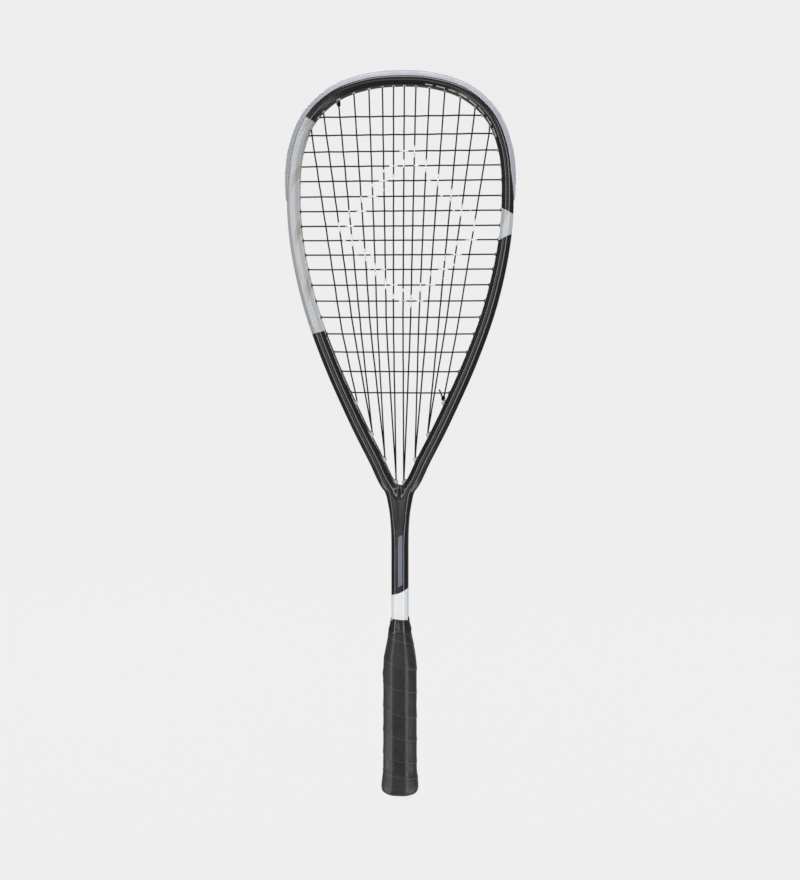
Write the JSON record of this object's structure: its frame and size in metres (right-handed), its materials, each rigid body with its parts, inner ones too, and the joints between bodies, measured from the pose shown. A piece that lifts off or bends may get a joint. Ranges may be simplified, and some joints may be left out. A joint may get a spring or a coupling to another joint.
{
  "type": "squash racket",
  "caption": "Squash racket with a teardrop head, woven string bed, bumper guard, slim shaft and a wrapped eight-sided grip.",
  "frame": {"origin": "middle of the butt end, which is the lowest point of the upright racket", "axes": "+Z from the butt to the crown of the head, +X across the face to the right seen from the front, -Y is the front face"},
  "size_m": [0.2148, 0.032, 0.685],
  "materials": {
    "frame": "satin lacquer over black carbon composite, with pearl silver and white painted panels",
    "bumper": "translucent silver blue nylon, satin",
    "nylon": "black nylon, satin",
    "clear_grommet": "clear nylon",
    "string": "black multifilament with a smooth outer wrap and a white ink stencil",
    "foam": "moulded polyurethane foam",
    "butt_cap": "black nylon, fine texture",
    "steel": "staple wire",
    "grip": "matte tacky polyurethane, spirally wrapped",
    "tape": "black elastic vinyl tape, slightly wrinkled"
  },
  "bodies": {
    "root": {"frame": "frame", "bumper_guard": "bumper", "grommet_strip_left": "nylon", "grommet_strip_right": "nylon", "throat_grommet_left_1": "clear_grommet", "throat_grommet_left_2": "clear_grommet", "throat_grommet_left_3": "clear_grommet", "throat_grommet_left_4": "clear_grommet", "throat_grommet_right_1": "clear_grommet", "throat_grommet_right_2": "clear_grommet", "throat_grommet_right_3": "clear_grommet", "throat_grommet_right_4": "clear_grommet", "throat_crossover_grommet": "clear_grommet", "string": "string", "handle_foam": "foam", "butt_cap": "butt_cap", "butt_cap_staple_front": "steel", "butt_cap_staple_back": "steel", "grip_tape": "grip", "grip_finishing_tape": "tape"}
  },
  "joints": []
}
